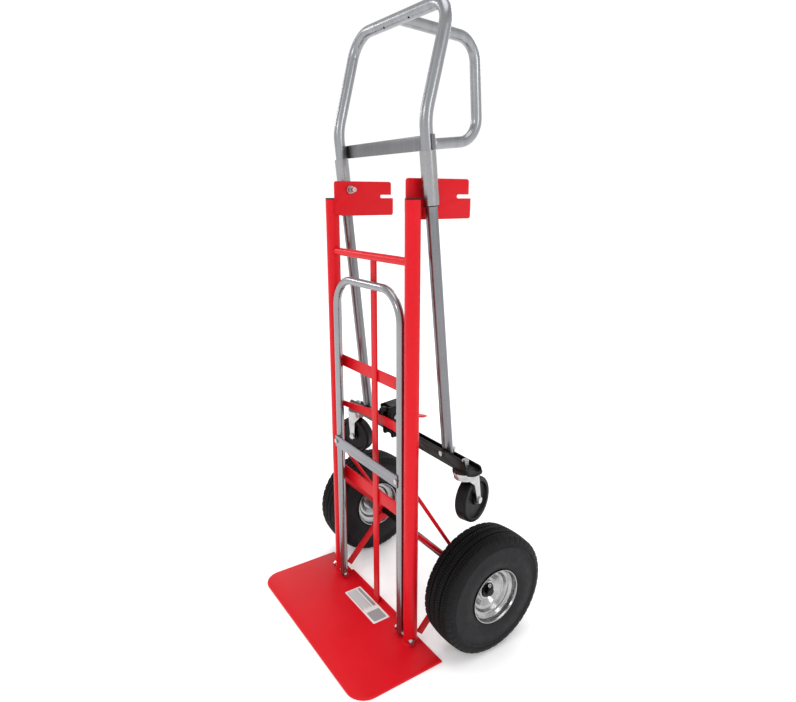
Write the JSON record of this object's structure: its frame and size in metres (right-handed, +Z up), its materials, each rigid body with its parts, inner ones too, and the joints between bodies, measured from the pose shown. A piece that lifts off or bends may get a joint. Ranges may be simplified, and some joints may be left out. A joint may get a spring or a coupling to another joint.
{
  "type": "convertible hand truck",
  "caption": "Upright two-wheel hand truck with a folding toe extension and a handle frame on casters that swings down to make a four-wheel platform truck.",
  "frame": {"origin": "on the ground under the middle of the two rails, on the toe plate's underside", "axes": "+Z up along the rails, +Y to the rear (wheel side), +X to the right when seen from behind"},
  "size_m": [0.5323, 0.4525, 1.2331],
  "materials": {
    "red_paint": "gloss powder coat",
    "bright_tube": "bright zinc, satin",
    "flat_steel": "zinc, satin",
    "zinc_plate": "zinc plated",
    "rim_steel": "bright zinc",
    "black_paint": "gloss black",
    "tyre_rubber": "matte",
    "caster_plastic": "satin moulded",
    "cap_plastic": "gloss moulded"
  },
  "bodies": {
    "frame": {"toe_plate": "red_paint", "left_rail": "red_paint", "right_rail": "red_paint", "rail_caps": "cap_plastic", "top_crossbar": "red_paint", "centre_strap": "red_paint", "upper_cross_strap": "red_paint", "lower_cross_strap": "red_paint", "latch_bar": "red_paint", "left_slot_plate": "red_paint", "right_slot_plate": "red_paint", "upper_struts": "red_paint", "middle_struts": "red_paint", "lower_struts": "red_paint", "axle_brackets": "red_paint", "axle": "black_paint", "axle_washers": "black_paint", "cotter_pins": "zinc_plate", "extension_bolts": "zinc_plate", "extension_nuts": "zinc_plate"},
    "left_wheel": {"left_tyre": "tyre_rubber", "left_rim_outer": "rim_steel", "left_rim_inner": "rim_steel", "left_hub": "zinc_plate", "left_bearings": "black_paint"},
    "right_wheel": {"right_tyre": "tyre_rubber", "right_rim_outer": "rim_steel", "right_rim_inner": "rim_steel", "right_hub": "zinc_plate", "right_bearings": "black_paint"},
    "guide_sleeves": {"left_sleeve": "bright_tube", "right_sleeve": "bright_tube", "pivot_studs": "zinc_plate", "pivot_nuts": "zinc_plate"},
    "handle_frame": {"left_leg_tube": "bright_tube", "right_leg_tube": "bright_tube", "handle_hoop": "bright_tube", "handle_strap": "flat_steel", "handle_strap_bolts": "zinc_plate", "grip_loop": "bright_tube", "caster_channel": "black_paint", "leg_bolts": "zinc_plate", "leg_bolt_nuts": "zinc_plate", "caster_races": "zinc_plate", "kingpins": "zinc_plate", "kingpin_nuts": "zinc_plate", "latch_housing": "black_paint", "latch_bolts": "zinc_plate", "latch_pin": "zinc_plate"},
    "left_caster_fork": {"left_caster_fork": "zinc_plate", "left_caster_pin": "zinc_plate"},
    "right_caster_fork": {"right_caster_fork": "zinc_plate", "right_caster_pin": "zinc_plate"},
    "left_caster_wheel": {"left_caster_wheel": "caster_plastic"},
    "right_caster_wheel": {"right_caster_wheel": "caster_plastic"},
    "extension_frame": {"extension_hoop": "bright_tube", "extension_strap": "flat_steel", "extension_rivets": "zinc_plate"},
    "latch_lever": {"latch_hook": "black_paint", "latch_pedal": "red_paint"}
  },
  "joints": [
    {"name": "left_wheel_spin", "type": "hinge", "parent": "frame", "child": "left_wheel", "pos_m": [-0.2237, 0.1293, 0.128], "axis": [1, 0, 0], "continuous": true},
    {"name": "right_wheel_spin", "type": "hinge", "parent": "frame", "child": "right_wheel", "pos_m": [0.2237, 0.1293, 0.128], "axis": [1, 0, 0], "continuous": true},
    {"name": "handle_swing", "type": "hinge", "parent": "frame", "child": "guide_sleeves", "pos_m": [0, 0.0332, 0.91775], "axis": [1, 0, 0], "range_deg": [0, 84]},
    {"name": "handle_slide", "type": "slide", "parent": "guide_sleeves", "child": "handle_frame", "axis": [0, -0.1024, 0.9947], "range_m": [0, 0.4075]},
    {"name": "left_caster_swivel", "type": "hinge", "parent": "handle_frame", "child": "left_caster_fork", "pos_m": [-0.205, 0.08808, 0.39462], "axis": [0, -0.1024, 0.9947], "continuous": true},
    {"name": "right_caster_swivel", "type": "hinge", "parent": "handle_frame", "child": "right_caster_fork", "pos_m": [0.205, 0.08808, 0.39462], "axis": [0, -0.1024, 0.9947], "continuous": true},
    {"name": "left_caster_spin", "type": "hinge", "parent": "left_caster_fork", "child": "left_caster_wheel", "pos_m": [-0.22076, 0.08917, 0.32185], "axis": [0.3746, -0.9223, -0.095], "continuous": true},
    {"name": "right_caster_spin", "type": "hinge", "parent": "right_caster_fork", "child": "right_caster_wheel", "pos_m": [0.20003, 0.11168, 0.32417], "axis": [0.9563, 0.2908, 0.03], "continuous": true},
    {"name": "extension_fold", "type": "hinge", "parent": "frame", "child": "extension_frame", "pos_m": [0, -0.008, 0.016], "axis": [1, 0, 0], "range_deg": [0, 90]},
    {"name": "latch_release", "type": "hinge", "parent": "handle_frame", "child": "latch_lever", "pos_m": [0, 0.0508, 0.45009], "axis": [1, 0, 0], "range_deg": [0, 20]}
  ],
  "couplings": [
    {"joint": "handle_slide", "follows": "handle_swing", "m_per_rad": 0.27795}
  ]
}
